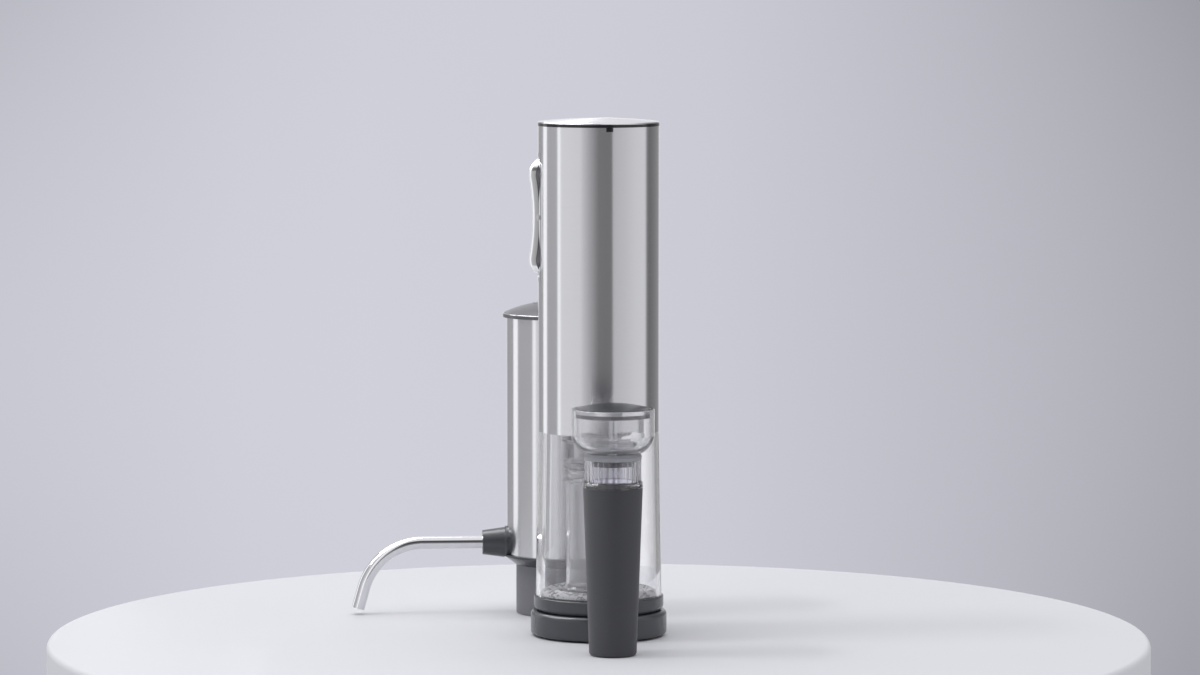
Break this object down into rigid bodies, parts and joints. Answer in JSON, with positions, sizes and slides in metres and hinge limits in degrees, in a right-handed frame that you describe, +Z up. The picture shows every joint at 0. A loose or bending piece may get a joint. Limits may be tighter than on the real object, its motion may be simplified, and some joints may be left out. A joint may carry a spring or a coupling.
{
  "type": "wine tool set",
  "caption": "Electric bottle opener on a charging base with foil cutter, pump dispenser with bent spout, and a vacuum bottle stopper.",
  "frame": {"origin": "on the table under the axis of the opener and its charging base", "axes": "+Z up, +X to the right of the three tools, -Y towards the stopper; the spout points to -X"},
  "size_m": [0.1443, 0.1767, 0.2313],
  "materials": {
    "steel_tube": "brushed around, satin",
    "polished_steel": "polished",
    "black_trim": "gloss black",
    "dark_plastic": "satin dark grey",
    "plain_plastic": "matt dark grey",
    "grey_plastic": "satin mid grey",
    "soft_silicone": "matt dark grey",
    "clear_silicone": "milky",
    "clear_plastic": "clear, polished",
    "bright_steel": "turned",
    "gear_metal": "sintered",
    "brass": "plain",
    "cell_wrap": "film wrap",
    "board_green": "solder mask",
    "part_black": "moulded"
  },
  "bodies": {
    "base": {"base_housing": "dark_plastic", "base_plate": "plain_plastic", "base_feet": "soft_silicone", "base_screws": "bright_steel", "charge_inlet": "part_black", "base_contacts": "brass"},
    "foil_cutter": {"cutter_body": "dark_plastic", "cutter_pins": "bright_steel"},
    "opener": {"clear_shell": "clear_plastic", "bottle_guide": "clear_plastic", "outer_tube": "steel_tube", "top_ring": "black_trim", "top_cap": "polished_steel", "ring_gear": "gear_metal", "shaft_bush": "brass", "opener_motor": "bright_steel", "battery_cells": "cell_wrap", "cell_holder": "plain_plastic", "control_board": "board_green", "rocker_switches": "part_black", "chassis_front": "plain_plastic", "chassis_back": "plain_plastic", "rocker_bezel": "polished_steel", "rocker_pin": "polished_steel"},
    "rocker": {"rocker_button": "polished_steel"},
    "worm_drive": {"planet_carrier": "bright_steel", "worm": "bright_steel"},
    "sun": {"sun_pinion": "gear_metal"},
    "dispenser": {"dispenser_can": "steel_tube", "dispenser_lid": "grey_plastic", "dispenser_collar": "dark_plastic", "bottle_socket": "soft_silicone", "wine_block": "part_black", "spout_boss": "dark_plastic", "dispenser_frame": "plain_plastic", "air_hose": "clear_silicone", "pump_head": "plain_plastic", "dispenser_motor": "bright_steel", "dispenser_cells": "cell_wrap", "dispenser_board": "board_green", "button_spring": "bright_steel"},
    "pour_button": {"dispenser_button": "grey_plastic"},
    "spout": {"spout": "polished_steel"},
    "crank": {"pump_crank": "bright_steel"},
    "stopper": {"stopper_sleeve": "soft_silicone", "stopper_barrel": "clear_plastic", "seal_ring": "clear_silicone", "stopper_bowl": "clear_plastic", "return_spring": "bright_steel"},
    "plunger": {"pump_rod": "clear_plastic", "piston_seal": "soft_silicone", "stopper_cap": "dark_plastic", "cap_gasket": "soft_silicone"},
    "planet_1": {"planet_gear_1": "gear_metal"},
    "planet_2": {"planet_gear_2": "gear_metal"},
    "planet_3": {"planet_gear_3": "gear_metal"},
    "wheel_1": {"cutter_wheel_1": "bright_steel"},
    "wheel_2": {"cutter_wheel_2": "bright_steel"},
    "wheel_3": {"cutter_wheel_3": "bright_steel"},
    "wheel_4": {"cutter_wheel_4": "bright_steel"}
  },
  "joints": [
    {"name": "opener_lift", "type": "slide", "parent": "base", "child": "opener", "axis": [0, 0, 1], "range_m": [0, 0.15]},
    {"name": "cutter_lift", "type": "slide", "parent": "base", "child": "foil_cutter", "axis": [0, 0, 1], "range_m": [0, 0.045]},
    {"name": "rocker_tilt", "type": "hinge", "parent": "opener", "child": "rocker", "pos_m": [-0.0252, 0, 0.1875], "axis": [0, 1, 0], "range_deg": [-4, 4], "stiffness_Nm_per_rad": 0.05},
    {"name": "worm_spin", "type": "hinge", "parent": "opener", "child": "worm_drive", "pos_m": [0, 0, 0.09], "axis": [0, 0, 1], "continuous": true},
    {"name": "sun_spin", "type": "hinge", "parent": "opener", "child": "sun", "pos_m": [0, 0, 0.103], "axis": [0, 0, 1], "continuous": true},
    {"name": "dispenser_lift", "type": "slide", "parent": "base", "child": "dispenser", "axis": [0, 0, 1], "range_m": [0, 0.15]},
    {"name": "pour_press", "type": "slide", "parent": "dispenser", "child": "pour_button", "axis": [0, 0, -1], "range_m": [0, 0.0015], "stiffness_N_per_m": 800, "springref_m": -0.0015, "deforming": ["button_spring"]},
    {"name": "spout_swivel", "type": "hinge", "parent": "dispenser", "child": "spout", "pos_m": [-0.04901, 0.06865, 0.0329], "axis": [-0.9969, -0.0785, 0], "range_deg": [-90, 90]},
    {"name": "crank_spin", "type": "hinge", "parent": "dispenser", "child": "crank", "pos_m": [-0.0191, 0.071, 0.045], "axis": [0, 0, 1], "continuous": true},
    {"name": "stopper_lift", "type": "slide", "parent": "base", "child": "stopper", "axis": [0, 0, 1], "range_m": [0, 0.15]},
    {"name": "pump_press", "type": "slide", "parent": "stopper", "child": "plunger", "axis": [0, 0, -1], "range_m": [0, 0.005], "stiffness_N_per_m": 600, "springref_m": -0.004, "deforming": ["return_spring"]},
    {"name": "planet_1_spin", "type": "hinge", "parent": "worm_drive", "child": "planet_1", "pos_m": [0.0108, 0, 0.103], "axis": [0, 0, 1], "continuous": true},
    {"name": "planet_2_spin", "type": "hinge", "parent": "worm_drive", "child": "planet_2", "pos_m": [-0.0054, 0.00935, 0.103], "axis": [0, 0, 1], "continuous": true},
    {"name": "planet_3_spin", "type": "hinge", "parent": "worm_drive", "child": "planet_3", "pos_m": [-0.0054, -0.00935, 0.103], "axis": [0, 0, 1], "continuous": true},
    {"name": "wheel_1_spin", "type": "hinge", "parent": "foil_cutter", "child": "wheel_1", "pos_m": [0.01329, 0.01329, 0.0149], "axis": [0, 0, 1], "continuous": true},
    {"name": "wheel_2_spin", "type": "hinge", "parent": "foil_cutter", "child": "wheel_2", "pos_m": [-0.01329, 0.01329, 0.0149], "axis": [0, 0, 1], "continuous": true},
    {"name": "wheel_3_spin", "type": "hinge", "parent": "foil_cutter", "child": "wheel_3", "pos_m": [-0.01329, -0.01329, 0.0149], "axis": [0, 0, 1], "continuous": true},
    {"name": "wheel_4_spin", "type": "hinge", "parent": "foil_cutter", "child": "wheel_4", "pos_m": [0.01329, -0.01329, 0.0149], "axis": [0, 0, 1], "continuous": true}
  ],
  "couplings": [
    {"joint": "sun_spin", "follows": "worm_spin", "ratio": 4},
    {"joint": "cutter_lift", "follows": "opener_lift", "ratio": 0.3},
    {"joint": "planet_1_spin", "follows": "worm_spin", "ratio": -3},
    {"joint": "planet_2_spin", "follows": "worm_spin", "ratio": -3},
    {"joint": "planet_3_spin", "follows": "worm_spin", "ratio": -3}
  ]
}
